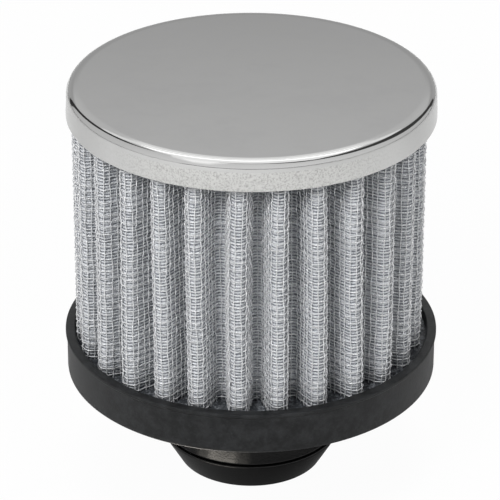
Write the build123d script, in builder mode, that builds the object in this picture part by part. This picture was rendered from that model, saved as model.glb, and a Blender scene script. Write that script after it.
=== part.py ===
"""Crankcase breather filter that pushes into a round hole by its rubber neck.

A chromed cap and a rubber base tray hold a pleated pack between them: an outer wire screen, the filter medium and an
inner wire screen, folded as one so that each lies in the folds of the next. Potting compound bonds the pack's ends into
the cap and into the tray's channel. Air is drawn in through the pleats and leaves through the bore of the neck.

Millimetres, +Z up. The origin is the centre of the neck's open end, on which the filter stands.
"""

import os
from math import asin, atan2, cos, hypot, pi, radians, sin

from build123d import *

os.makedirs("parts", exist_ok=True)

# Push-in neck: a smooth collar, then a step out to the snap ring, which tapers to the open end
neck_length = 21.6
neck_bore_diameter = 25.4
neck_end_wall = 2.1
neck_end_chamfer = 0.4
collar_diameter = 35.8
collar_length = 14.6
snap_ring_step = 1.0

# Pleated pack, measured on its outer face. The tray and the cap are fitted round it.
pack_diameter = 71.2
pleat_count = 27
pleat_depth = 6.6
crest_fold_radius = 2.1
valley_fold_radius = 0.75
flats_per_fold = 3
first_crest_angle = -93.3
screen_thickness = 0.5
medium_thickness = 0.6

# Base tray, moulded in one with the neck. The moat is the gap between its rim and the pack's crests.
moat_width = 0.5
rim_thickness = 2.0
rim_lip_projection = 0.3
rim_lip_height = 1.0
base_height = 8.9
base_floor = 3.0
base_edge_chamfer = 0.5
dam_thickness = 1.6
dam_freeboard = 0.6
dam_clearance = 0.5

# Top cap, pressed from sheet, with a skirt that flares a little towards its lower edge
skirt_clearance = 0.75
skirt_flare = 0.25
cap_height = 6.1
cap_sheet = 0.6
cap_edge_radius = 1.0
crown_above_base = 62.9

# Potting compound
base_potting_recess = 2.0
cap_potting_depth = 4.5

# Heights above the neck's open end
collar_bottom = neck_length - collar_length
floor_top = neck_length + base_floor
rim_top = neck_length + base_height
base_potting_top = rim_top - base_potting_recess
dam_top = base_potting_top + dam_freeboard
crown_top = neck_length + crown_above_base
skirt_bottom = crown_top - cap_height
crown_underside = crown_top - cap_sheet
cap_potting_bottom = crown_underside - cap_potting_depth

# Radii from the filter's axis
bore_radius = neck_bore_diameter / 2
neck_end_radius = bore_radius + neck_end_wall
collar_radius = collar_diameter / 2
snap_ring_radius = collar_radius + snap_ring_step
pack_radius = pack_diameter / 2
pack_inner_radius = pack_radius - pleat_depth - 2 * screen_thickness - medium_thickness
rim_inner_radius = pack_radius + moat_width
rim_outer_radius = rim_inner_radius + rim_thickness
tray_wall_radius = rim_outer_radius - rim_lip_projection
dam_outer_radius = pack_inner_radius - dam_clearance
dam_inner_radius = dam_outer_radius - dam_thickness
skirt_edge_radius = pack_radius + skirt_clearance + cap_sheet


def skirt_radius(height):
    """Outer radius of the cap's skirt at a height: the skirt is a shallow cone."""
    return skirt_edge_radius - skirt_flare * (height - skirt_bottom) / cap_height


def fold_corners(centre_radius, fold_radius, flank_normal, outward):
    """Corners of one fold, as (x, y) with the fold's centre line along +X.

    A wire screen bends only where its wires cross, so a fold is a run of equal flats. They are tangent to the fold's
    circle, and the first and last corners lie on the flanks, whose normals stand flank_normal from the centre line.
    """
    step = 2 * flank_normal / (flats_per_fold + 1)
    reach = fold_radius / cos(step / 2)
    corners = []
    for i in range(flats_per_fold + 1):
        angle = flank_normal - (i + 0.5) * step
        if outward:
            corners.append((centre_radius + reach * cos(angle), -reach * sin(angle)))
        else:
            corners.append((centre_radius - reach * cos(angle), -reach * sin(angle)))
    return corners


def pleat_line(inset):
    """Corners of the closed pleated line that runs at an inset below the pack's outer face.

    The crest and valley circles keep their centres at every inset: one shrinks by what the other grows, so the flanks
    stay parallel and each layer lies flat on the next.
    """
    half_pitch = pi / pleat_count
    crest_centre = pack_radius - crest_fold_radius
    valley_centre = pack_radius - pleat_depth + valley_fold_radius
    across = valley_centre * sin(half_pitch)
    along = crest_centre - valley_centre * cos(half_pitch)
    centre_angle = atan2(across, along)
    flank_lean = centre_angle - asin((crest_fold_radius + valley_fold_radius) / hypot(across, along))
    crest_normal = pi / 2 - flank_lean
    valley_normal = crest_normal - half_pitch
    crest = fold_corners(crest_centre, crest_fold_radius - inset, crest_normal, outward=True)
    valley = fold_corners(valley_centre, valley_fold_radius + inset, valley_normal, outward=False)
    corners = []
    for i in range(pleat_count):
        crest_angle = radians(first_crest_angle) + 2 * i * half_pitch
        for fold, angle in ((crest, crest_angle), (valley, crest_angle + half_pitch)):
            for x, y in fold:
                corners.append((x * cos(angle) - y * sin(angle), x * sin(angle) + y * cos(angle)))
    return corners


def pleated_layer(outer_inset, thickness):
    """One layer of the pack, standing between the two beds of potting compound."""
    with BuildPart() as layer:
        with BuildSketch(Plane.XY.offset(base_potting_top)):
            with BuildLine():
                Polyline(*pleat_line(outer_inset), close=True)
            make_face()
            with BuildLine():
                Polyline(*pleat_line(outer_inset + thickness), close=True)
            make_face(mode=Mode.SUBTRACT)
        extrude(amount=cap_potting_bottom - base_potting_top)
    return layer


with BuildPart() as base_moulding:
    with BuildSketch(Plane.XZ) as base_section:
        with BuildLine():
            Polyline(
                (bore_radius, 0),
                (neck_end_radius, 0),
                (snap_ring_radius, collar_bottom),
                (collar_radius, collar_bottom),
                (collar_radius, neck_length),
                (tray_wall_radius, neck_length),
                (tray_wall_radius, rim_top - rim_lip_height),
                (rim_outer_radius, rim_top - rim_lip_height + rim_lip_projection),
                (rim_outer_radius, rim_top),
                (rim_inner_radius, rim_top),
                (rim_inner_radius, floor_top),
                (dam_outer_radius, floor_top),
                (dam_outer_radius, dam_top),
                (dam_inner_radius, dam_top),
                (dam_inner_radius, floor_top),
                (bore_radius, floor_top),
                close=True,
            )
        make_face()
        neck_corners = base_section.vertices().group_by(Axis.Y)[0]
        chamfer(neck_corners.sort_by(Axis.X)[-1], length=neck_end_chamfer)
        underside_corners = base_section.vertices().filter_by(lambda v: abs(v.Y - neck_length) < 0.001)
        chamfer(underside_corners.sort_by(Axis.X)[-1], length=base_edge_chamfer)
    revolve(axis=Axis.Z)
base_moulding.part.label = "base_moulding"

with BuildPart() as base_potting:
    with BuildSketch(Plane.XY.offset(floor_top)):
        Circle(rim_inner_radius)
        Circle(dam_outer_radius, mode=Mode.SUBTRACT)
    extrude(amount=base_potting_top - floor_top)
base_potting.part.label = "base_potting"

with BuildPart() as top_cap:
    with BuildSketch(Plane.XZ) as cap_section:
        with BuildLine():
            Polyline(
                (0, crown_top),
                (skirt_radius(crown_top), crown_top),
                (skirt_radius(skirt_bottom), skirt_bottom),
                (skirt_radius(skirt_bottom) - cap_sheet, skirt_bottom),
                (skirt_radius(crown_underside) - cap_sheet, crown_underside),
                (0, crown_underside),
                close=True,
            )
        make_face()
        crown_corner = cap_section.vertices().group_by(Axis.Y)[-1].sort_by(Axis.X)[-1]
        fillet(crown_corner, radius=cap_edge_radius)
    revolve(axis=Axis.Z)
top_cap.part.label = "top_cap"

with BuildPart() as cap_potting:
    with BuildSketch(Plane.XZ):
        with BuildLine():
            Polyline(
                (0, crown_underside),
                (skirt_radius(crown_underside) - cap_sheet, crown_underside),
                (skirt_radius(cap_potting_bottom) - cap_sheet, cap_potting_bottom),
                (0, cap_potting_bottom),
                close=True,
            )
        make_face()
    revolve(axis=Axis.Z)
cap_potting.part.label = "cap_potting"

outer_screen = pleated_layer(0, screen_thickness)
outer_screen.part.label = "outer_screen"

filter_medium = pleated_layer(screen_thickness, medium_thickness)
filter_medium.part.label = "filter_medium"

inner_screen = pleated_layer(screen_thickness + medium_thickness, screen_thickness)
inner_screen.part.label = "inner_screen"

export_step(base_moulding.part, "parts/base_moulding.step")
export_step(base_potting.part, "parts/base_potting.step")
export_step(top_cap.part, "parts/top_cap.step")
export_step(cap_potting.part, "parts/cap_potting.step")
export_step(outer_screen.part, "parts/outer_screen.step")
export_step(filter_medium.part, "parts/filter_medium.step")
export_step(inner_screen.part, "parts/inner_screen.step")
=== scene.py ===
"""Dressed scene of a push-in crankcase breather filter.

A chromed cap and a black rubber tray with a push-in neck hold a pleated pack between them: woven wire cloth,
gauze and a second wire cloth, folded as one and cast into potting compound at both ends. Sizes are in
millimetres and become metres in the meshes. +Z is up, and the origin is the centre of the neck's open end.
"""

import logging
from dataclasses import dataclass
from enum import Enum
from math import asin, atan2, cos, hypot, pi, radians, sin, sqrt, tan

import bpy
import numpy as np
from mathutils import Matrix, Vector


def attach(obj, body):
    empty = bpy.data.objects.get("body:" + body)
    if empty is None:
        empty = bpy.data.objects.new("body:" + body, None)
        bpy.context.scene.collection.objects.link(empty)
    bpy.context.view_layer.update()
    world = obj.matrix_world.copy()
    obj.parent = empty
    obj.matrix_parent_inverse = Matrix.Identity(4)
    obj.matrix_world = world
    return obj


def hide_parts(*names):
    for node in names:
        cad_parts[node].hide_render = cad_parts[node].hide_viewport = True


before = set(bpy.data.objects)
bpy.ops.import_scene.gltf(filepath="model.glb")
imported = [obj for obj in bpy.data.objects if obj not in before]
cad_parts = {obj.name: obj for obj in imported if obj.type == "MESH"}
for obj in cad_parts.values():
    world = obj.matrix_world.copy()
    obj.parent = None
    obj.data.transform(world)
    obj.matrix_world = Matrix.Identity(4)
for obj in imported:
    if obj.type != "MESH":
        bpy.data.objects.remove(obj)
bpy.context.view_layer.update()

log = logging.getLogger("breather_filter")

MM = 0.001
BODY = "root"
BAND_PITCH = 0.314
"""Metres from one band of a wave texture to the next at scale 1."""

Array = np.ndarray
Material = bpy.types.Material
Colour = tuple[float, float, float]
Point = tuple[float, float, float]
Span = tuple[float, float]
Stops = tuple[tuple[float, float], ...]


class Slot(Enum):
    """Material slots of the record, one passed along with each piece."""

    CHROMED_CAP = "chromed_cap"
    SCREEN_WIRE = "screen_wire"
    MEDIUM_GAUZE = "medium_gauze"
    POTTING_COMPOUND = "potting_compound"
    BASE_RUBBER = "base_rubber"


class Run(Enum):
    """Which way a cloth's wires run."""

    UPRIGHT = "uprights"
    ROUND = "hoops"


@dataclass(frozen=True)
class Grain:
    """Noise in a finish: the size of its largest patches, its finer layers, and how strong those are."""

    size: float
    detail: float = 2.0
    roughness: float = 0.5


@dataclass(frozen=True)
class Patches(Grain):
    """Noise that is cut to soft-edged patches, which begin at the low level and are full at the high one."""

    low: float = 0.4
    high: float = 0.7


class Signal:
    """A value in a material's nodes, on which plain sums can be written."""

    def __init__(self, tree: bpy.types.NodeTree, socket: bpy.types.NodeSocket) -> None:
        """Keeps the output socket and the tree that it is in."""
        self.tree = tree
        self.socket = socket

    def _sum(self, operation: str, *values: "Signal | float") -> "Signal":
        """Adds one Math node.

        Args:
            operation: The Math node's operation.
            values: Its inputs in order, each a number or another signal.

        Returns:
            The node's result.
        """
        made = self.tree.nodes.new("ShaderNodeMath")
        made.operation = operation
        for place, value in zip(made.inputs, values):
            if isinstance(value, Signal):
                self.tree.links.new(value.socket, place)
            else:
                place.default_value = value
        return Signal(self.tree, made.outputs[0])

    def __add__(self, other: "Signal | float") -> "Signal":
        """This plus the other."""
        return self._sum("ADD", self, other)

    def __radd__(self, other: float) -> "Signal":
        """A number plus this."""
        return self._sum("ADD", other, self)

    def __sub__(self, other: "Signal | float") -> "Signal":
        """This minus the other."""
        return self._sum("SUBTRACT", self, other)

    def __rsub__(self, other: float) -> "Signal":
        """A number minus this."""
        return self._sum("SUBTRACT", other, self)

    def __mul__(self, other: "Signal | float") -> "Signal":
        """This times the other."""
        return self._sum("MULTIPLY", self, other)

    def __rmul__(self, other: float) -> "Signal":
        """A number times this."""
        return self._sum("MULTIPLY", other, self)

    def __or__(self, other: "Signal | float") -> "Signal":
        """The larger of the two, so that masks can be joined."""
        return self._sum("MAXIMUM", self, other)

    def __ror__(self, other: float) -> "Signal":
        """The larger of a number and this."""
        return self._sum("MAXIMUM", other, self)


class Nodes:
    """The nodes of one material or of the world."""

    def __init__(self, tree: bpy.types.NodeTree) -> None:
        """Starts work on a node tree."""
        self.tree = tree

    def node(
        self,
        kind: str,
        settings: dict[str, object] | None = None,
        sockets: dict[str | int, object] | None = None,
        output: str | int = 0,
    ) -> Signal:
        """Adds one node.

        Args:
            kind: The node's type.
            settings: Its settings, which are set first.
            sockets: Values or signals for its inputs, by name or number.
            output: Which output is wanted.

        Returns:
            That output.
        """
        made = self.tree.nodes.new(kind)
        for name, value in (settings or {}).items():
            setattr(made, name, value)
        for name, value in (sockets or {}).items():
            self.feed(made.inputs[name], value)
        return Signal(self.tree, made.outputs[output])

    def feed(self, place: bpy.types.NodeSocket, value: object) -> None:
        """Gives an input its value, or links a signal to it.

        Args:
            place: The input socket.
            value: A number, a tuple or a signal.
        """
        if isinstance(value, Signal):
            self.tree.links.new(value.socket, place)
        elif isinstance(value, tuple) and place.type == "RGBA":
            place.default_value = (*value, 1.0)
        else:
            place.default_value = value

    def mixed(self, factor: Signal | float, first: Signal | Colour, second: Signal | Colour) -> Signal:
        """Mixes two colours: a factor of 0 gives the first and 1 the second."""
        return self.node("ShaderNodeMix", {"data_type": "RGBA"}, {0: factor, 6: first, 7: second}, 2)

    def rising(self, value: Signal, low: float, high: float, first: float = 0, last: float = 1) -> Signal:
        """A smooth step as a value rises from low to high, from one result to another."""
        sockets = {"Value": value, "From Min": low, "From Max": high, "To Min": first, "To Max": last}
        return self.node("ShaderNodeMapRange", {"interpolation_type": "SMOOTHSTEP"}, sockets)

    def stepped(self, value: Signal, span: Span, first: float = 0.0, last: float = 1.0) -> Signal:
        """A smooth step of a value in metres, over a span in millimetres."""
        return self.rising(value, span[0] * MM, span[1] * MM, first, last)

    def shaded(self, value: Signal, stops: Stops) -> Signal:
        """Turns a value from 0 to 1 into a grey.

        Args:
            value: The value.
            stops: Places and greys of a ramp, in rising order.

        Returns:
            The grey.
        """
        ramp = self.tree.nodes.new("ShaderNodeValToRGB")
        elements = ramp.color_ramp.elements
        elements.remove(elements[-1])
        elements[0].position = stops[0][0]
        for at, _ in stops[1:]:
            elements.new(at)
        for element, (_, grey) in zip(elements, stops):
            element.color = (grey, grey, grey, 1.0)
        self.feed(ramp.inputs[0], value)
        return Signal(self.tree, ramp.outputs[0])

    def place(self) -> Signal:
        """Where a point of the piece is, in metres from the filter's origin."""
        return self.node("ShaderNodeTexCoord", output="Object")

    def part_of(self, vector: Signal, axis: str) -> Signal:
        """One component of a vector, X, Y or Z."""
        return self.node("ShaderNodeSeparateXYZ", sockets={0: vector}, output=axis)

    def noise(self, vector: Signal, grain: Grain) -> Signal:
        """Noise from 0 to 1, usually near 0.5, of a vector in metres."""
        sockets = {"Scale": 1 / (grain.size * MM), "Detail": grain.detail, "Roughness": grain.roughness}
        return self.node("ShaderNodeTexNoise", sockets={"Vector": vector, **sockets})

    def patches(self, vector: Signal, patches: Patches) -> Signal:
        """Patches of 1 on a ground of 0."""
        return self.rising(self.noise(vector, patches), patches.low, patches.high)

    def bump(self, height: Signal, depth: float, below: Signal | None = None) -> Signal:
        """Turns a height into a surface direction.

        Args:
            height: The height, as a share of the depth.
            depth: The depth in millimetres.
            below: The direction to which this is added, where there is one.

        Returns:
            The direction.
        """
        sockets = {"Strength": 1.0, "Distance": depth * MM, "Height": height}
        if below is not None:
            sockets["Normal"] = below
        return self.node("ShaderNodeBump", sockets=sockets)

    def ray(self, kind: str) -> Signal:
        """Whether a ray is of a kind, 1 or 0."""
        return self.node("ShaderNodeLightPath", output=f"Is {kind} Ray")

    def glow(self, tone: Colour) -> Signal:
        """A shader that shines evenly."""
        return self.node("ShaderNodeEmission", sockets={"Color": tone, "Strength": 1.0})


class Surface(Nodes):
    """A material, which starts with one Principled shader."""

    def __init__(self, name: str) -> None:
        """Makes the material."""
        self.material = bpy.data.materials.new(name)
        self.material.use_nodes = True
        super().__init__(self.material.node_tree)
        self.shader = self.tree.nodes["Principled BSDF"]

    def finished(self, **sockets: object) -> Material:
        """Sets the shader's sockets.

        Args:
            sockets: Values or signals by socket name, with _ for a space.

        Returns:
            The material.
        """
        for name, value in sockets.items():
            self.feed(self.shader.inputs[name.replace("_", " ")], value)
        return self.material

    def show(self, shader: Signal) -> Material:
        """Shows another shader in place of the Principled one.

        Args:
            shader: The other shader.

        Returns:
            The material.
        """
        self.tree.nodes.remove(self.shader)
        self.feed(self.tree.nodes["Material Output"].inputs["Surface"], shader)
        return self.material


@dataclass(frozen=True)
class ChromeFinish:
    """Polished chrome plate on pressed steel: a soft ripple, faint smears and a pitted front, partly painted
    reflection.

    Below the skirt's span the plate is pitted: fully up to the front span, and faintly behind it. The full
    pits on the camera's side are partly painted reflection: the mottled look of that side's reflections, put
    into the colour.
    """

    colour: Colour = (0.63, 0.63, 0.625)
    smear_colour: Colour = (0.57, 0.57, 0.57)
    scoured_colour: Colour = (0.69, 0.69, 0.675)
    pit_colour: Colour = (0.46, 0.46, 0.445)
    roughness: float = 0.07
    smears: Patches = Patches(14.0, 4.0, 0.6, 0.45, 0.75)
    smear_strength: float = 0.5
    smear_roughness: float = 0.05
    pits: Patches = Patches(0.36, 3.0, 0.75, 0.43, 0.66)
    faint_pits: float = 0.15
    # Painted reflection in part: the pits are full on the camera's side, where they stand for mottled
    # reflections, and faint behind.
    front_pits_and_painted_reflection_span: Span = (-35.0, -24.0)
    skirt_span: Span = (82.2, 82.6)
    ripple: Grain = Grain(9.0, 1.0)
    ripple_depth: float = 0.004
    grain: Grain = Grain(0.5)
    grain_depth: float = 0.0006

    def make(self) -> Material:
        """Makes the material.

        Returns:
            The chrome.
        """
        surface = Surface("polished_chrome")
        place = surface.place()
        smears = surface.patches(place, self.smears)
        skirt = surface.stepped(surface.part_of(place, "Z"), self.skirt_span, 1.0, 0.0)
        # Painted reflection in part: full pits on the camera's side stand for its mottled reflections; behind
        # they are faint.
        front = surface.stepped(surface.part_of(place, "Y"), self.front_pits_and_painted_reflection_span, 1.0, self.faint_pits)
        pitted = surface.mixed(surface.patches(place, self.pits), self.scoured_colour, self.pit_colour)
        plate = surface.mixed(smears * self.smear_strength, self.colour, self.smear_colour)
        ripple = surface.bump(surface.noise(place, self.ripple), self.ripple_depth)
        return surface.finished(
            Base_Color=surface.mixed(skirt * front, plate, pitted),
            Metallic=1.0,
            Roughness=self.roughness + smears * self.smear_roughness,
            Normal=surface.bump(surface.noise(place, self.grain), self.grain_depth, ripple),
        )


@dataclass(frozen=True)
class RubberFinish:
    """Matt moulded rubber with a fine grain and a dusty bloom. The neck is smoother."""

    colour: Colour = (0.005, 0.0053, 0.0057)
    bloom_colour: Colour = (0.024, 0.0253, 0.0266)
    neck_colour: Colour = (0.003, 0.003, 0.003)
    roughness: float = 0.52
    neck_roughness: float = 0.2
    bloom_roughness: float = 0.06
    specular: float = 0.3
    bloom: Patches = Patches(2.6, 6.0, 0.7, 0.36, 0.68)
    specks: Patches = Patches(0.8, 3.0, 0.7, 0.5, 0.7)
    speck_share: float = 0.3
    grain: Grain = Grain(0.45, 3.0, 0.6)
    grain_depth: float = 0.03
    pitting: Grain = Grain(2.4, 3.0)
    pitting_depth: float = 0.02
    neck_span: Span = (20.7, 21.3)

    def make(self) -> Material:
        """Makes the material.

        Returns:
            The rubber.
        """
        surface = Surface("moulded_rubber")
        place = surface.place()
        on_tray = surface.stepped(surface.part_of(place, "Z"), self.neck_span)
        bloom = surface.patches(place, self.bloom)
        dusty = bloom * (1 - self.speck_share) + surface.patches(place, self.specks) * self.speck_share
        tray = surface.mixed(dusty, self.colour, self.bloom_colour)
        dullness = surface.rising(on_tray, 0.0, 1.0, self.neck_roughness, self.roughness)
        fine = surface.bump(surface.noise(place, self.grain), self.grain_depth)
        return surface.finished(
            Base_Color=surface.mixed(on_tray, self.neck_colour, tray),
            Roughness=dullness + (bloom - 0.5) * self.bloom_roughness,
            Specular_IOR_Level=self.specular,
            Normal=surface.bump(surface.noise(place, self.pitting), self.pitting_depth, fine),
        )


@dataclass(frozen=True)
class CompoundFinish:
    """Poured black compound: slightly glossy, with small lumps and dull patches where dust has settled."""

    colour: Colour = (0.035, 0.038, 0.043)
    dust_colour: Colour = (0.25, 0.265, 0.285)
    roughness: float = 0.36
    dust_roughness: float = 0.25
    specular: float = 0.35
    dust: Patches = Patches(0.9, 4.0, 0.75, 0.46, 0.7)
    lumps: Grain = Grain(0.7, 4.0, 0.65)
    lump_depth: float = 0.15

    def make(self) -> Material:
        """Makes the material.

        Returns:
            The compound.
        """
        surface = Surface("potting_compound")
        place = surface.place()
        dust = surface.patches(place, self.dust)
        return surface.finished(
            Base_Color=surface.mixed(dust, self.colour, self.dust_colour),
            Roughness=self.roughness + dust * self.dust_roughness,
            Specular_IOR_Level=self.specular,
            Normal=surface.bump(surface.noise(place, self.lumps), self.lump_depth),
        )


@dataclass(frozen=True)
class Soaking:
    """Compound that has crept up the pleats' feet, up to a soft edge that wanders."""

    wander: float
    span: Span
    colour: Colour = (0.12, 0.127, 0.14)

    def reach(self, surface: Surface, place: Signal, noise: Signal) -> Signal:
        """1 where a cloth is soaked and 0 where it is clean, with an edge that wanders with the noise."""
        height = surface.part_of(place, "Z") + (noise - 0.5) * (self.wander * MM)
        return surface.stepped(height, self.span, 1.0, 0.0)


@dataclass(frozen=True)
class GauzeFinish:
    """Layered cotton gauze: a fine open weave with fuzz on it, unevenly pale."""

    colour: Colour = (0.70, 0.715, 0.74)
    thin_colour: Colour = (0.15, 0.162, 0.185)
    roughness: float = 0.85
    soaked_gloss: float = 0.35
    thread_pitch: float = 0.66
    thread_wander: float = 2.5
    thread_detail: float = 0.6
    fuzz: Grain = Grain(0.27, 3.0, 0.8)
    ripple: Grain = Grain(1.6)
    row_height: float = 0.6
    fuzz_height: float = 0.7
    weave_depth: float = 0.16
    row_share: float = 0.35
    fuzz_share: float = 0.9
    ripple_share: float = 0.3
    thin_levels: Span = (0.52, 0.95)
    soaking: Soaking = Soaking(2.2, (28.0, 28.9))

    def make(self) -> Material:
        """Makes the material.

        Returns:
            The gauze.
        """
        surface = Surface("layered_gauze")
        place = surface.place()
        ripple, fuzz = surface.noise(place, self.ripple), surface.noise(place, self.fuzz)
        rows = surface.node(
            "ShaderNodeTexWave",
            {"wave_type": "BANDS", "bands_direction": "Z"},
            {
                "Vector": place,
                "Scale": BAND_PITCH / (self.thread_pitch * MM),
                "Distortion": self.thread_wander,
                "Detail": 1.0,
                "Detail Scale": self.thread_detail,
            },
            1,
        )
        weave = rows * self.row_height + fuzz * self.fuzz_height
        thin = rows * self.row_share + fuzz * self.fuzz_share + ripple * self.ripple_share
        cloth = surface.mixed(surface.rising(thin, *self.thin_levels), self.thin_colour, self.colour)
        soaked = self.soaking.reach(surface, place, ripple)
        return surface.finished(
            Base_Color=surface.mixed(soaked, cloth, self.soaking.colour),
            Roughness=self.roughness - soaked * self.soaked_gloss,
            Normal=surface.bump(weave, self.weave_depth),
        )


@dataclass(frozen=True)
class WireFinish:
    """Bright drawn wire, dulled in patches, with compound crept up its lowest rows."""

    name: str = "screen_wire"
    colour: Colour = (0.92, 0.925, 0.93)
    dull_colour: Colour = (0.66, 0.67, 0.69)
    roughness: float = 0.25
    dull_roughness: float = 0.12
    metallic: float = 0.5
    dull: Patches = Patches(0.6, 3.0, 0.75, 0.4, 0.65)
    creep: Grain = Grain(1.8)
    drawing: Grain = Grain(0.12)
    drawing_stretch: Point = (1.0, 1.0, 0.25)
    drawing_depth: float = 0.006
    soaking: Soaking = Soaking(2.0, (28.0, 28.6))

    def make(self) -> Material:
        """Makes the material.

        Returns:
            The wire's finish.
        """
        surface = Surface(self.name)
        place = surface.place()
        dull = surface.patches(place, self.dull)
        soaked = self.soaking.reach(surface, place, surface.noise(place, self.creep))
        wire = surface.mixed(dull, self.colour, self.dull_colour)
        factors = {0: place, 1: self.drawing_stretch}
        stretched = surface.node("ShaderNodeVectorMath", {"operation": "MULTIPLY"}, factors)
        return surface.finished(
            Base_Color=surface.mixed(soaked, wire, self.soaking.colour),
            Metallic=(1 - soaked) * self.metallic,
            Roughness=self.roughness + dull * self.dull_roughness,
            Normal=surface.bump(surface.noise(stretched, self.drawing), self.drawing_depth),
        )


def added(name: str, data: bpy.types.ID) -> bpy.types.Object:
    """Adds an object to the scene.

    Args:
        name: Its name.
        data: Its mesh, lamp or camera.

    Returns:
        The object.
    """
    made = bpy.data.objects.new(name, data)
    bpy.context.scene.collection.objects.link(made)
    return made


def rounded_section(corners: list[Point], steps: int) -> list[tuple[float, float]]:
    """Rounds the corners of a closed section.

    Args:
        corners: Radius, height and rounding of each corner, in order.
        steps: How many pieces each rounded corner is cut into.

    Returns:
        The section's points.
    """
    points = []
    for i, (x, y, rounding) in enumerate(corners):
        if rounding == 0:
            points.append((x, y))
            continue
        before, after = corners[i - 1], corners[(i + 1) % len(corners)]
        to_before = Vector((before[0] - x, before[1] - y)).normalized()
        to_after = Vector((after[0] - x, after[1] - y)).normalized()
        half = to_before.angle(to_after) / 2
        middle = (to_before + to_after).normalized()
        centre = Vector((x, y)) + middle * (rounding / sin(half))
        start = Vector((x, y)) + to_before * (rounding / tan(half)) - centre
        end = Vector((x, y)) + to_after * (rounding / tan(half)) - centre
        turn = start.angle_signed(end)
        for k in range(steps + 1):
            angle = -turn * k / steps
            spoke = Vector(
                (start.x * cos(angle) - start.y * sin(angle), start.x * sin(angle) + start.y * cos(angle))
            )
            points.append((centre.x + spoke.x, centre.y + spoke.y))
    return points


def grid_faces(rows: int, columns: int, looped: bool = True) -> Array:
    """Quads of a grid of points that are numbered row by row, where each row is a ring.

    Args:
        rows: Number of rows.
        columns: Number of points in a row.
        looped: Whether the last row joins the first.

    Returns:
        The quads' point numbers, four to a row.
    """
    row, column = np.meshgrid(np.arange(rows if looped else rows - 1), np.arange(columns), indexing="ij")
    next_row, next_column = (row + 1) % rows, (column + 1) % columns
    corners = (row * columns + column, row * columns + next_column, next_row * columns + next_column)
    return np.stack([*corners, next_row * columns + column], axis=-1).reshape(-1, 4)


def add_piece(
    name: str,
    points: Array,
    faces: list[list[int]],
    material: Material,
    slot: Slot,
    nodes: tuple[str, ...],
    crease: float | None = None,
) -> bpy.types.Object:
    """Makes one piece of the filter from its points and faces.

    Args:
        name: The piece's name.
        points: Its points in millimetres, three numbers to a row.
        faces: Point numbers of each face.
        material: Its finish.
        slot: The record's slot for its finish; not used.
        nodes: The CAD nodes that it stands for.
        crease: Angle in degrees above which an edge is sharp, or None for a piece that is smooth all over.

    Returns:
        The piece.
    """
    mesh = bpy.data.meshes.new(name)
    mesh.from_pydata((points * MM).tolist(), [], faces)
    mesh.validate()
    mesh.polygons.foreach_set("use_smooth", np.ones(len(mesh.polygons), dtype=bool))
    if crease is not None:
        mesh.set_sharp_from_angle(angle=radians(crease))
    mesh.materials.append(material)
    piece = added(name, mesh)
    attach(piece, BODY)
    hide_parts(*nodes)
    log.info("%s: %d faces, stands for %s", name, len(mesh.polygons), ", ".join(nodes))
    return piece


def turned(section: list[tuple[float, float]], turns: int) -> tuple[Array, list[list[int]]]:
    """Turns a section round the filter's axis.

    Args:
        section: Radius and height of its points, counterclockwise; it is closed, and may touch the axis.
        turns: Number of flats round the piece.

    Returns:
        Points and faces.
    """
    points: list[Point] = []
    rings: list[list[int]] = []
    for radius, height in section:
        first = len(points)
        if radius == 0:
            points.append((0.0, 0.0, height))
            rings.append([first] * turns)
            continue
        for k in range(turns):
            angle = 2 * pi * k / turns
            points.append((radius * cos(angle), radius * sin(angle), height))
        rings.append(list(range(first, first + turns)))
    faces = []
    for lower, upper in zip(rings, rings[1:] + rings[:1]):
        for k in range(turns):
            near, far = k, (k + 1) % turns
            face = [lower[near], lower[far], upper[far], upper[near]]
            face = [corner for n, corner in enumerate(face) if corner != face[n - 1]]
            if len(face) > 2:
                faces.append(face)
    return np.array(points), faces


def wires(
    centres: Array, across: Array, along: Array, radius: float, sides: int, looped: bool
) -> tuple[Array, list[list[int]]]:
    """Makes round wires along given lines.

    Args:
        centres: Points of the wires' lines, by wire and point.
        across: At each point, a direction square to the wire.
        along: At each point, the wire's rough direction.
        radius: The wires' radius.
        sides: Number of flats round a wire.
        looped: Whether each wire is a closed loop.

    Returns:
        Points and faces of all the wires.
    """
    up = np.cross(along, across)
    up /= np.linalg.norm(up, axis=-1, keepdims=True)
    angles = 2 * pi * np.arange(sides) / sides
    ring = np.cos(angles)[:, None] * across[..., None, :] + np.sin(angles)[:, None] * up[..., None, :]
    points = (centres[..., None, :] + radius * ring).reshape(-1, 3)
    count, stations = centres.shape[:2]
    one = grid_faces(stations, sides, looped)
    faces = (one[None] + (np.arange(count) * stations * sides)[:, None, None]).reshape(-1, 4).tolist()
    if not looped:
        for first in range(0, count * stations * sides, stations * sides):
            last = first + (stations - 1) * sides
            faces.append(list(range(first + sides - 1, first - 1, -1)))
            faces.append(list(range(last, last + sides)))
    return points, faces


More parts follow.
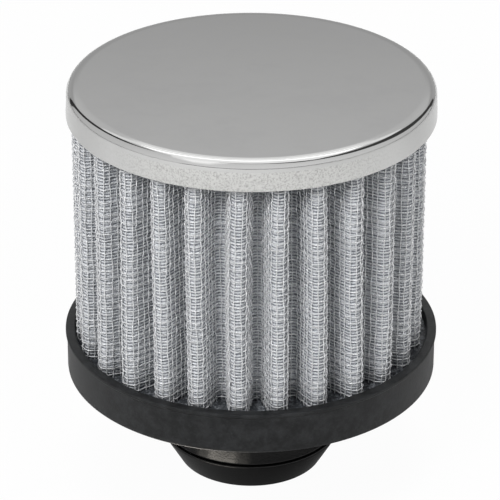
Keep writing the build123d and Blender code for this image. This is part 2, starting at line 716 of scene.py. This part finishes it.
@dataclass(frozen=True)
class FoldLine:
    """The one folded line that the two screens and the gauze share, each at its own inset.

    The crest and valley circles keep their centres at every inset: one shrinks by what the other grows, so
    the flanks stay parallel and each layer lies flat on the next. The pleats are not quite evenly set, and
    the pack was cast in a little off the axis. Angles are in degrees.

    The front shifts and tilts are those of the twelve crests round the camera's side, from left to right;
    the others are drawn at random from the seed. A tilt is how far a crest runs to the right on its way up,
    and each crest sways a little on that way.
    """

    pack_radius: float = 35.6
    pleat_count: int = 27
    pleat_depth: float = 6.6
    crest_fold_radius: float = 2.1
    valley_fold_radius: float = 0.75
    first_crest_angle: float = -93.3
    pack_bottom: float = 28.5
    pack_top: float = 79.4
    off_centre: float = -0.45
    first_front: int = -5
    front_shifts: tuple[float, ...] = (-2.0, -0.55, -0.4, 0.0, -1.2, -0.1, -0.15, -0.2, 0.7, 2.1, 3.0, 3.0)
    front_tilts: tuple[float, ...] = (0.5, 0.3, 0.0, -0.5, -0.5, 0.3, 0.3, -1.3, -1.9, 0.0, 0.0, -1.5)
    shift: float = 0.5
    tilt: float = 0.6
    sway: float = 0.2
    sway_turns: float = 1.6
    seed: int = 7

    @property
    def half_pitch(self) -> float:
        """Half the angle from one crest to the next."""
        return pi / self.pleat_count

    @property
    def crest_centre(self) -> float:
        """Radius on which the crest circles' centres stand."""
        return self.pack_radius - self.crest_fold_radius

    @property
    def valley_centre(self) -> float:
        """Radius on which the valley circles' centres stand."""
        return self.pack_radius - self.pleat_depth + self.valley_fold_radius

    @property
    def spread(self) -> tuple[float, float]:
        """From a crest circle's centre to the valley circle's, across and along the crest's centre line."""
        across = self.valley_centre * sin(self.half_pitch)
        return across, self.crest_centre - self.valley_centre * cos(self.half_pitch)

    @property
    def flank_normal(self) -> float:
        """Angle of a flank's normal from its crest's centre line."""
        across, along = self.spread
        folds = self.crest_fold_radius + self.valley_fold_radius
        lean = atan2(across, along) - asin(folds / hypot(across, along))
        return pi / 2 - lean

    @property
    def flank(self) -> float:
        """Length of the straight flank between the two folds."""
        across, along = self.spread
        return sqrt(across**2 + along**2 - (self.crest_fold_radius + self.valley_fold_radius) ** 2)

    def traced(self, inset: Array, steps: Array, heights: Array) -> tuple[Array, Array]:
        """Finds points on the folded surface.

        Args:
            inset: How far below the pack's outer face each point lies.
            steps: How far round each point is, in pleats from the first crest's middle.
            heights: Height of each point.

        Returns:
            The points, and the outward directions there.
        """
        inset, steps, heights = np.broadcast_arrays(inset, steps, heights)
        pleat = np.floor(steps)
        share = (steps - pleat) * 2
        mirrored = share > 1
        share = np.where(mirrored, 2 - share, share)
        normal = self.flank_normal
        crest_radius = self.crest_fold_radius - inset
        valley_radius = self.valley_fold_radius + inset
        crest_length = crest_radius * normal
        distance = share * (crest_length + self.flank + valley_radius * (normal - self.half_pitch))
        on_crest = distance < crest_length
        on_valley = distance > crest_length + self.flank
        turn = np.where(
            on_crest,
            distance / crest_radius,
            np.where(on_valley, normal - (distance - crest_length - self.flank) / valley_radius, normal),
        )
        down = np.clip(distance - crest_length, 0, self.flank)
        x = self.crest_centre + crest_radius * np.cos(turn) - down * sin(normal)
        y = crest_radius * np.sin(turn) + down * cos(normal)
        x = np.where(on_valley, self.valley_centre * cos(self.half_pitch) - valley_radius * np.cos(turn), x)
        y = np.where(on_valley, self.valley_centre * sin(self.half_pitch) - valley_radius * np.sin(turn), y)
        side = np.where(mirrored, -1.0, 1.0)
        crest = pleat + mirrored
        radius = np.hypot(x, y)
        from_crest = side * np.arctan2(y, x)
        moved = self._moved(crest + from_crest / (2 * self.half_pitch), heights)
        middle = radians(self.first_crest_angle) + 2 * self.half_pitch * crest + moved
        angle = from_crest + middle
        facing = side * turn + middle
        x, y = radius * np.cos(angle) + self.off_centre, radius * np.sin(angle)
        points = np.stack([x, y, heights + 0 * radius], axis=-1)
        normals = np.stack([np.cos(facing), np.sin(facing), 0 * radius], axis=-1)
        return points, normals

    def _moved(self, steps: Array, heights: Array) -> Array:
        """How far the pleats are moved round the axis from an even spacing.

        Args:
            steps: Angle from the first crest's middle, in pleats.
            heights: Height above the neck's end.

        Returns:
            The move in radians. A crest moves as one, and a valley by the mean of its two crests.
        """
        draw = np.random.default_rng(self.seed)
        shifts = draw.uniform(-self.shift, self.shift, self.pleat_count)
        tilts = draw.uniform(-self.tilt, self.tilt, self.pleat_count)
        phases = draw.uniform(0, 2 * pi, self.pleat_count)
        front = np.arange(len(self.front_shifts)) + self.first_front
        shifts[front], tilts[front] = self.front_shifts, self.front_tilts
        rise = (heights - self.pack_bottom) / (self.pack_top - self.pack_bottom)
        before = np.floor(steps)
        share = steps - before
        share = share * share * (3 - 2 * share)
        moves = []
        for crest in (before, before + 1):
            number = crest.astype(int) % self.pleat_count
            swing = self.sway * np.sin(self.sway_turns * pi * rise + phases[number])
            moves.append(shifts[number] + tilts[number] * (rise - 0.5) + swing)
        return np.radians(moves[0] * (1 - share) + moves[1] * share)


@dataclass
class WireCloth:
    """Plain-woven wire cloth on the fold line: upright wires and closed hoops, passing over and under.

    A hoop is set off its level by up to the jitter, and ripples round the pack by waves that are each as high
    as a draw between the two ripple heights. The uprights stray and wander to the side by a share of their
    spacing. An eased wire has a point between its crossings too.
    """

    name: str
    node: str
    inset: float
    fold: FoldLine
    material: Material
    wire_radius: float = 0.108
    crimp: float = 0.135
    jitter: float = 0.11
    ripple_waves: tuple[int, ...] = (3, 7, 14)
    ripple_heights: Span = (0.04, 0.11)
    ripple_drift: float = 0.3
    straying: float = 0.11
    wander_waves: tuple[float, ...] = (1.3, 3.1, 6.7)
    upright_count: int = 350
    hoop_count: int = 37
    eased: bool = True
    sides: int = 5
    batches: int = 2
    buried: float = 0.55
    seed: int = 3

    def crossing_heights(self) -> Array:
        """Heights at which hoops cross the upright wires.

        Returns:
            Heights by upright wire and hoop; the hoops ripple a little round the pack.
        """
        draw = np.random.default_rng(self.seed)
        count = self.upright_count
        pitch = (self.fold.pack_top - self.fold.pack_bottom) / self.hoop_count
        level = self.fold.pack_bottom + pitch * (np.arange(self.hoop_count) + 0.5)
        level = level + draw.uniform(-self.jitter, self.jitter, self.hoop_count)
        round_pack = 2 * pi * np.arange(count)[:, None] / count
        ripple = np.zeros((count, self.hoop_count))
        for waves in self.ripple_waves:
            phase = draw.uniform(0, 2 * pi, self.hoop_count) * self.ripple_drift + draw.uniform(0, 2 * pi)
            ripple += np.sin(waves * round_pack + phase) * draw.uniform(*self.ripple_heights)
        return level[None, :] + ripple

    def passing(self) -> Array:
        """Which wire lies outside at each crossing: 1 for the upright wire and -1 for the hoop."""
        crossings = np.arange(self.upright_count)[:, None] + np.arange(self.hoop_count)[None, :]
        return np.where(crossings % 2 == 0, 1.0, -1.0)

    def in_pleats(self, spacings: Array | float) -> Array | float:
        """Turns spacings of the upright wires into pleats."""
        return spacings * self.fold.pleat_count / self.upright_count

    def joined(self, crossings: Array, between: Array) -> Array:
        """Sets the values between crossings among those at the crossings, if the wires are eased.

        Args:
            crossings: Values at the crossings, along the last axis.
            between: Values between them.

        Returns:
            The values along the wires.
        """
        if not self.eased:
            return crossings
        values = np.empty((*crossings.shape[:-1], crossings.shape[-1] + between.shape[-1]))
        values[..., ::2], values[..., 1::2] = crossings, between
        return values

    def upright_wires(self) -> None:
        """Makes the upright wires."""
        crossings, passing = self.crossing_heights(), self.passing()
        heights = self.joined(crossings, (crossings[:, 1:] + crossings[:, :-1]) / 2)
        offsets = self.joined(passing, np.zeros_like(passing[:, 1:]))
        ends = (self.fold.pack_bottom - self.buried, self.fold.pack_top + self.buried)
        heights = np.pad(heights, ((0, 0), (1, 1)), constant_values=((0, 0), ends))
        count, stations = heights.shape
        draw = np.random.default_rng(self.seed + 1)
        stray = draw.uniform(-1, 1, (count, 1)) * self.straying
        wander = np.zeros((count, stations))
        for waves in self.wander_waves:
            phase = draw.uniform(0, 2 * pi, (count, 1))
            wander += np.sin(waves * np.linspace(0, 2 * pi, stations)[None, :] + phase) * self.straying / 2
        steps = self.in_pleats(np.arange(count) + 0.5)[:, None] + self.in_pleats(stray + wander)
        self.add_wires(Run.UPRIGHT, steps, heights, np.pad(offsets, ((0, 0), (1, 1))))

    def hoops(self) -> None:
        """Makes the hoops."""
        crossings, passing = self.crossing_heights().T, -self.passing().T
        heights = self.joined(crossings, (crossings + np.roll(crossings, -1, axis=1)) / 2)
        offsets = self.joined(passing, np.zeros_like(passing))
        steps = self.in_pleats(np.arange(self.upright_count) + 0.5)
        steps = self.joined(steps, steps + self.in_pleats(0.5))
        self.add_wires(Run.ROUND, steps[None, :], heights, offsets)

    def add_wires(self, run: Run, steps: Array, heights: Array, offsets: Array) -> None:
        """Makes the wires of one run, in batches.

        Args:
            run: Which way they run.
            steps: How far round each point is, in pleats, by wire and point.
            heights: Height of each point.
            offsets: How far each point lies outside the cloth's middle, as a share of the crimp.
        """
        points, normals = self.fold.traced(self.inset, steps, heights)
        centres = points + normals * (offsets * self.crimp)[..., None]
        looped = run is Run.ROUND
        upright = np.broadcast_to(np.array((0.0, 0.0, 1.0)), normals.shape)
        along = np.cross(upright, normals) if looped else upright
        size = -(-len(centres) // self.batches)
        for batch in range(self.batches):
            chosen = slice(batch * size, (batch + 1) * size)
            lines = (centres[chosen], normals[chosen], along[chosen])
            tube = wires(*lines, self.wire_radius, self.sides, looped)
            name = f"{self.name}_{run.value}_{batch + 1}"
            add_piece(name, *tube, self.material, Slot.SCREEN_WIRE, (self.node,))

    def build(self) -> None:
        """Makes the cloth."""
        self.upright_wires()
        self.hoops()


@dataclass
class GauzePack:
    """The gauze between the two wire cloths: one smooth folded sheet."""

    fold: FoldLine
    material: Material
    outer_inset: float = 0.66
    thickness: float = 0.42
    stations_per_pleat: int = 36
    rows: int = 15
    buried: float = 0.5

    def build(self) -> None:
        """Makes the gauze."""
        count = self.fold.pleat_count * self.stations_per_pleat
        steps = np.arange(count)[None, :] / self.stations_per_pleat
        bottom, top = self.fold.pack_bottom - self.buried, self.fold.pack_top + self.buried
        heights = np.linspace(bottom, top, self.rows)[:, None]
        outer, _ = self.fold.traced(self.outer_inset, steps, heights)
        inner, _ = self.fold.traced(self.outer_inset + self.thickness, steps, heights[::-1])
        points = np.concatenate([outer, inner]).reshape(-1, 3)
        faces = grid_faces(2 * self.rows, count).tolist()
        add_piece("gauze_pleats", points, faces, self.material, Slot.MEDIUM_GAUZE, ("filter_medium",))


@dataclass
class TopCap:
    """Shallow round cup pressed from sheet: a flat crown, a rolled edge and a short, slightly flared skirt.

    The crown dips a little over a narrow ring before it rounds over.
    """

    material: Material
    crown_top: float = 84.5
    crown_radius: float = 36.7
    skirt_bottom: float = 78.4
    skirt_edge_radius: float = 36.95
    sheet: float = 0.6
    edge_rounding: float = 1.7
    inner_rounding: float = 0.9
    lip_rounding: float = 0.22
    dip: float = 0.08
    dip_width: float = 0.6
    flat_from: float = 0.9
    edge_steps: int = 10
    turns: int = 288
    crease: float = 40.0

    def build(self) -> None:
        """Makes the cap."""
        rounding_starts = self.crown_radius - self.edge_rounding
        section = rounded_section(
            [
                (0, self.crown_top - self.sheet, 0),
                (self.crown_radius - self.sheet, self.crown_top - self.sheet, self.inner_rounding),
                (self.skirt_edge_radius - self.sheet, self.skirt_bottom, self.lip_rounding),
                (self.skirt_edge_radius, self.skirt_bottom, self.lip_rounding),
                (self.crown_radius, self.crown_top - self.dip, self.edge_rounding),
                (rounding_starts - self.dip_width, self.crown_top, 0),
                (rounding_starts - self.flat_from, self.crown_top, 0),
                (0, self.crown_top, 0),
            ],
            self.edge_steps,
        )
        shape = turned(section, self.turns)
        add_piece("chromed_cap", *shape, self.material, Slot.CHROMED_CAP, ("top_cap",), self.crease)


@dataclass
class BaseMoulding:
    """Rubber tray and push-in neck in one piece, with the soft edges of a moulding.

    The roundings are those of the section's corners, from the bore's open end round the outside.
    """

    material: Material
    neck_length: float = 21.6
    bore_radius: float = 12.7
    neck_end_radius: float = 14.8
    collar_bottom: float = 7.0
    collar_radius: float = 17.9
    snap_ring_radius: float = 18.9
    tray_wall_radius: float = 37.8
    rim_outer_radius: float = 38.1
    rim_inner_radius: float = 36.1
    rim_top: float = 30.5
    lip_bottom: float = 29.5
    floor_top: float = 24.6
    dam_outer_radius: float = 26.9
    dam_inner_radius: float = 25.3
    dam_top: float = 29.1
    roundings: tuple[float, ...] = (
        0.3, 0.6, 0.4, 0.25, 0.5, 0.7, 0.15, 0.15, 0.3, 0.3, 0.2, 0.2, 0.3, 0.3, 0.3, 0.6,
    )
    edge_steps: int = 5
    turns: int = 240
    crease: float = 40.0

    def build(self) -> None:
        """Makes the moulding."""
        lip = self.rim_outer_radius - self.tray_wall_radius
        corners = [
            (self.bore_radius, 0),
            (self.neck_end_radius, 0),
            (self.snap_ring_radius, self.collar_bottom),
            (self.collar_radius, self.collar_bottom),
            (self.collar_radius, self.neck_length),
            (self.tray_wall_radius, self.neck_length),
            (self.tray_wall_radius, self.lip_bottom),
            (self.rim_outer_radius, self.lip_bottom + lip),
            (self.rim_outer_radius, self.rim_top),
            (self.rim_inner_radius, self.rim_top),
            (self.rim_inner_radius, self.floor_top),
            (self.dam_outer_radius, self.floor_top),
            (self.dam_outer_radius, self.dam_top),
            (self.dam_inner_radius, self.dam_top),
            (self.dam_inner_radius, self.floor_top),
            (self.bore_radius, self.floor_top),
        ]
        rounded = [(*corner, rounding) for corner, rounding in zip(corners, self.roundings)]
        shape = turned(rounded_section(rounded, self.edge_steps), self.turns)
        add_piece("rubber_base", *shape, self.material, Slot.BASE_RUBBER, ("base_moulding",), self.crease)


@dataclass
class BasePotting:
    """Bed of compound round the pleats' feet: it climbs a little up the pleats, the rim and the dam.

    The pack's half thickness is also how far its middle lies below its outer face.
    """

    fold: FoldLine
    material: Material
    inner_radius: float = 26.9
    outer_radius: float = 36.1
    bottom: float = 24.7
    surface: float = 28.15
    creep: float = 0.3
    creep_width: float = 0.35
    rim_creep: float = 0.3
    rim_creep_width: float = 0.3
    half_pack: float = 0.8
    feet_per_pleat: int = 30
    unevenness: float = 0.1
    uneven_waves: tuple[int, ...] = (5, 9, 16, 31, 47)
    rings: int = 32
    spokes: int = 840
    crease: float = 50.0
    seed: int = 11

    def build(self) -> None:
        """Makes the bed."""
        radii = np.linspace(self.inner_radius, self.outer_radius, self.rings)
        angles = 2 * pi * np.arange(self.spokes) / self.spokes
        radius, angle = np.meshgrid(radii, angles, indexing="ij")
        x, y = radius * np.cos(angle), radius * np.sin(angle)
        steps = np.arange(self.fold.pleat_count * self.feet_per_pleat) / self.feet_per_pleat
        feet, _ = self.fold.traced(self.half_pack, steps, self.fold.pack_bottom)
        gap = np.full(x.shape, np.inf)
        for fx, fy, _ in feet:
            gap = np.minimum(gap, np.hypot(x - fx, y - fy))
        gap = np.maximum(gap - self.half_pack, 0)
        height = self.surface + self.creep * np.exp(-gap / self.creep_width)
        for from_wall in (self.outer_radius - radius, radius - self.inner_radius):
            height += self.rim_creep * np.exp(-from_wall / self.rim_creep_width)
        draw = np.random.default_rng(self.seed)
        for waves in self.uneven_waves:
            turn = waves * angle + draw.uniform(0, 2 * pi) + radius * draw.uniform(0, 1)
            height += self.unevenness / 3 * np.sin(turn)
        top = np.stack([x, y, height], axis=-1)
        under = np.stack([x[[-1, 0]], y[[-1, 0]], np.full((2, self.spokes), self.bottom)], axis=-1)
        points = np.concatenate([top, under]).reshape(-1, 3)
        faces = grid_faces(self.rings + 2, self.spokes)[:, ::-1].tolist()
        slot, nodes = Slot.POTTING_COMPOUND, ("base_potting",)
        add_piece("potting_bed", points, faces, self.material, slot, nodes, self.crease)


def direction(azimuth: float, elevation: float) -> Vector:
    """The way out from the filter, where azimuth 0 is the camera's side and 90 the filter's right."""
    turn, rise = radians(azimuth), radians(elevation)
    return Vector((sin(turn) * cos(rise), -cos(turn) * cos(rise), sin(rise)))


@dataclass(frozen=True)
class Softbox:
    """A square lamp, aimed at the filter, with its lengths in metres.

    The level is the tone that it alone gives a white surface which faces it. The metal doesn't show the
    lamps, but the cards, which give it its bright and dark lines.
    """

    name: str
    azimuth: float
    elevation: float
    width: float
    level: float
    distance: float = 1.3

    def light(self, target: Vector) -> None:
        """Adds the lamp.

        Args:
            target: What it is aimed at.
        """
        lamp = bpy.data.lights.new(self.name, "AREA")
        lamp.shape, lamp.size = "SQUARE", self.width
        lamp.energy = self.level * pi**2 * self.distance**2
        holder = added(self.name, lamp)
        away = direction(self.azimuth, self.elevation)
        holder.location = target + away * self.distance
        holder.rotation_euler = away.to_track_quat("Z", "Y").to_euler()
        holder.visible_glossy = False


def glowing(name: str, points: list[Vector], tone: Colour) -> bpy.types.Object:
    """Adds an even strip of light that only shows in reflections.

    Args:
        name: Its name.
        points: Its corners in metres, in pairs from end to end.
        tone: Its brightness.

    Returns:
        The strip, which is part of the studio.
    """
    mesh = bpy.data.meshes.new(name)
    starts = range(0, len(points) - 2, 2)
    mesh.from_pydata(points, [], [(start, start + 1, start + 3, start + 2) for start in starts])
    surface = Surface(name)
    mesh.materials.append(surface.show(surface.glow(tone)))
    patch = added(name, mesh)
    patch.visible_camera = patch.visible_diffuse = patch.visible_shadow = patch.visible_transmission = False
    return patch


@dataclass(frozen=True)
class Card:
    """A card beside the filter, which only shows in the metal: it gives the chrome its lines.

    The path holds azimuth, elevation and width of the card in degrees, as seen from the cap. The distance is
    in metres.
    """

    name: str
    tone: float
    path: tuple[Point, ...]
    distance: float = 1.4

    def hang(self, middle: Vector) -> None:
        """Hangs the card.

        Args:
            middle: The point that it goes round.
        """
        ways = [direction(azimuth, elevation) for azimuth, elevation, _ in self.path]
        points = []
        for k, (way, (_, _, width)) in enumerate(zip(ways, self.path)):
            onward = ways[min(k + 1, len(ways) - 1)] - ways[max(k - 1, 0)]
            aside = way.cross(onward).normalized()
            for side in (-1, 1):
                half = side * radians(width) / 2
                points.append(middle + (way * cos(half) + aside * sin(half)) * self.distance)
        glowing(self.name, points, (self.tone,) * 3)


@dataclass(frozen=True)
class Studio:
    """White floor, pale surroundings, soft lamps and the camera at the photograph's angle.

    Lengths are in millimetres, but for the camera's clip in metres, and angles in degrees. Tones are greys,
    or places and greys of a ramp. The paper is what the floor throws back: the paper tones run out to the
    paper's reach, the floor behind is darker, and round the neck the floor carries a painted shadow of the
    tray, with a tone for each side.
    The wall span is where the walls at the sides give way to the back wall, as a share of straight ahead.
    """

    aim: Point = (-0.24, 0.0, 47.19)
    elevation: float = 27.285
    distance: float = 640.17
    roll: float = 0.16
    lens: float = 226.52
    sensor: float = 36.0
    clip: Span = (0.01, 100.0)
    floor_size: float = 8000.0
    floor_drop: float = 0.02
    floor_glow: float = 0.97
    mirrored_glow: float = 0.12
    paper_reach: float = 200.0
    paper_tones: Stops = ((0.2, 0.58), (0.48, 0.6), (0.8, 0.65))
    behind_span: Span = (-20.0, 100.0)
    behind_share: float = 0.5
    behind_tone: float = 0.43
    # Painted shadow of the tray on the floor round the neck: its reach, and its tones from left to right.
    shade_reach: Span = (30.0, 40.0)
    shade_span: Span = (-15.0, 15.0)
    shade_tones: Stops = ((0.0, 0.3), (1.0, 0.06))
    ambient: float = 0.18
    wall_span: Span = (0.66, 0.82)
    wall_tones: Stops = ((0.0, 0.92), (0.25, 0.84), (0.5, 0.74), (0.75, 0.66), (1.0, 0.6))
    back_wall_tones: Stops = (
        (0.0, 0.5), (0.36, 0.43), (0.391, 0.455), (0.4045, 0.525),
        (0.42, 0.57), (0.4305, 0.62), (0.483, 0.65), (0.56, 0.66),
    )
    gleam_azimuth: float = -28.0
    gleam_widths: Span = (52.0, 28.0)
    gleam_reach: Span = (29.0, 37.0)
    gleam_tones: tuple[Colour, Colour] = ((2.4, 2.3, 2.1), (8.5, 8.0, 7.2))
    gleam_stations: int = 9
    gleam_lift: float = 0.1
    card_height: float = 80.0
    cards: tuple[Card, ...] = (
        Card("white_ceiling", 1.9, ((180, 40, 16), (180, 50, 28), (180, 60, 42), (180, 74, 49))),
        Card("grey_ceiling", 1.2, ((180, 74, 49), (180, 84, 52), (0, 76, 50))),
        Card("ceiling_edge", 1.05, ((180, 29, 8), (180, 38, 18), (180, 48, 56), (180, 58, 64)), 1.5),
        Card("key_glow", 1.35, ((-78, 74, 12), (-57, 68, 14), (-45, 58, 14), (-39, 50, 12), (-35, 42, 8))),
        Card(
            "key_halo",
            1.1,
            ((-78, 74, 20), (-57, 68, 24), (-45, 58, 24), (-39, 50, 20), (-34, 40, 14), (-31, 30, 9)),
            1.45,
        ),
        Card("front_gap", 0.12, ((-38, 71, 2), (-12, 73, 3), (14, 72, 4), (30, 68, 7))),
        Card(
            "right_gap",
            0.06,
            (
                (28, 68, 8), (45, 62, 12), (62, 59, 14), (80, 54, 17), (97, 50, 21),
                (112, 42, 27), (125, 34, 28), (133, 24, 18), (141, 12, 10), (140, 3, 6),
            ),
        ),
        Card(
            "left_gap",
            0.04,
            (
                (-100, 59, 3), (-112, 52, 9), (-124, 46, 14), (-134, 34, 15),
                (-140, 18, 10), (-140, 6, 8), (-138, 0, 5),
            ),
        ),
        Card("skirting", 0.3, ((-40, 2, 3), (0, 2, 4), (25, 3, 4), (50, 4, 3))),
    )
    lamp_aim: float = 50.0
    lamps: tuple[Softbox, ...] = (
        Softbox("key_softbox", -30, 42, 0.45, 0.87),
        Softbox("fill_softbox", 32, 42, 0.6, 0.24),
        Softbox("back_left_softbox", -166, 40, 0.6, 0.4),
        Softbox("back_right_softbox", 162, 40, 0.6, 0.4),
    )

    def paper(self, surface: Surface) -> Signal:
        """Colours the floor for the light that it throws back.

        Args:
            surface: The floor's material.

        Returns:
            The colour.
        """
        place = surface.place()
        reach = surface.node("ShaderNodeVectorMath", {"operation": "LENGTH"}, {0: place}, "Value")
        front = surface.shaded(reach * (1 / (self.paper_reach * MM)), self.paper_tones)
        behind = surface.stepped(surface.part_of(place, "Y"), self.behind_span, 0.0, self.behind_share)
        open_floor = surface.mixed(behind, front, (self.behind_tone,) * 3)
        # Painted shadow: near the neck the floor's colour is darkened as the tray's shadow, more on the
        # right.
        to_right = surface.stepped(surface.part_of(place, "X"), self.shade_span)
        shade = surface.shaded(to_right, self.shade_tones)
        return surface.mixed(surface.stepped(reach, self.shade_reach, 1.0, 0.0), open_floor, shade)

    def floor(self) -> None:
        """Lays the white floor, which keeps a faint shadow of the filter."""
        half = self.floor_size * MM / 2
        mesh = bpy.data.meshes.new("floor")
        corners = [(-half, -half, 0), (half, -half, 0), (half, half, 0), (-half, half, 0)]
        mesh.from_pydata(corners, [], [(0, 1, 2, 3)])
        surface = Surface("white_floor")
        seen = (surface.ray("Camera") * self.floor_glow) | (surface.ray("Glossy") * self.mirrored_glow)
        lit = surface.node("ShaderNodeBsdfDiffuse", sockets={"Color": self.paper(surface)})
        white = surface.glow((1.0, 1.0, 1.0))
        mix = surface.node("ShaderNodeMixShader", sockets={0: seen, 1: lit, 2: white})
        mesh.materials.append(surface.show(mix))
        plane = added("floor", mesh)
        plane.location.z = -self.floor_drop * MM

    def gleam(self) -> None:
        """Lays two warm patches on the floor beside the neck, which only show as the gleam on its collar."""
        for number, (width, tone) in enumerate(zip(self.gleam_widths, self.gleam_tones), start=1):
            points = []
            for share in np.linspace(-0.5, 0.5, self.gleam_stations):
                out = direction(self.gleam_azimuth + width * share, 0.0) * MM
                points += [out * reach for reach in self.gleam_reach]
            glowing(f"gleam_{number}", points, tone).location.z = self.gleam_lift * MM * number

    def surroundings(self) -> None:
        """Sets the world: an even level of light, with pale walls where the camera or the metal looks."""
        world = bpy.data.worlds.new("studio")
        bpy.context.scene.world = world
        world.use_nodes = True
        nodes = Nodes(world.node_tree)
        outward = nodes.node("ShaderNodeTexCoord", output="Generated")
        height, depth = nodes.part_of(outward, "Z"), nodes.part_of(outward, "Y")
        behind = nodes.shaded(height, self.back_wall_tones)
        around = nodes.shaded(depth * 0.5 + 0.5, self.wall_tones)
        walls = nodes.mixed(nodes.rising(depth, *self.wall_span), around, behind)
        level = (self.ambient,) * 3
        colour = nodes.mixed(nodes.ray("Camera") | nodes.ray("Glossy"), level, walls)
        background = nodes.tree.nodes["Background"]
        nodes.feed(background.inputs["Color"], colour)
        background.inputs["Strength"].default_value = 1.0

    def camera(self) -> None:
        """Places the camera where the photograph was taken from."""
        data = bpy.data.cameras.new("camera")
        data.lens, data.sensor_width = self.lens, self.sensor
        data.clip_start, data.clip_end = self.clip
        holder = added("camera", data)
        away = direction(0.0, self.elevation)
        target = Vector(self.aim) * MM
        level = away.to_track_quat("Z", "Y").to_matrix().to_4x4()
        rolled = level @ Matrix.Rotation(radians(self.roll), 4, "Z")
        holder.matrix_world = Matrix.Translation(target + away * self.distance * MM) @ rolled
        bpy.context.scene.camera = holder

    def build(self) -> None:
        """Sets the whole studio up."""
        self.camera()
        self.floor()
        for card in self.cards:
            card.hang(Vector((0.0, 0.0, self.card_height * MM)))
        self.gleam()
        self.surroundings()
        for lamp in self.lamps:
            lamp.light(Vector((0.0, 0.0, self.lamp_aim * MM)))
        bpy.context.scene.view_settings.view_transform = "Standard"
        log.info("studio: %d lamps", len(self.lamps))


@dataclass
class PleatedPack:
    """The two wire cloths with the gauze between them, all on one fold line."""

    fold: FoldLine
    outer_wire: WireFinish = WireFinish()
    inner_wire: WireFinish = WireFinish(name="inner_wire", colour=(0.72, 0.73, 0.74))
    gauze: GauzeFinish = GauzeFinish()
    outer_inset: float = 0.25
    inner_inset: float = 1.35

    def build(self) -> None:
        """Makes the three layers."""
        outer, inner = self.outer_wire.make(), self.inner_wire.make()
        WireCloth("outer_cloth", "outer_screen", self.outer_inset, self.fold, outer).build()
        GauzePack(self.fold, self.gauze.make()).build()
        simpler = {"eased": False, "sides": 4, "batches": 1}
        WireCloth("inner_cloth", "inner_screen", self.inner_inset, self.fold, inner, **simpler).build()


def dress_node(name: str, material: Material) -> None:
    """Gives a CAD node that stays its finish.

    Args:
        name: The node.
        material: The finish.
    """
    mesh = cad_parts[name].data
    mesh.materials.clear()
    mesh.materials.append(material)
    log.info("%s: kept from the CAD model", name)


def main() -> None:
    """Builds the filter and the studio in order."""
    logging.basicConfig(level=logging.INFO, format="%(name)s: %(message)s")
    fold = FoldLine()
    compound = CompoundFinish().make()
    Studio().build()
    TopCap(ChromeFinish().make()).build()
    BaseMoulding(RubberFinish().make()).build()
    BasePotting(fold, compound).build()
    dress_node("cap_potting", compound)
    PleatedPack(fold).build()


if __name__ == "__main__":
    main()
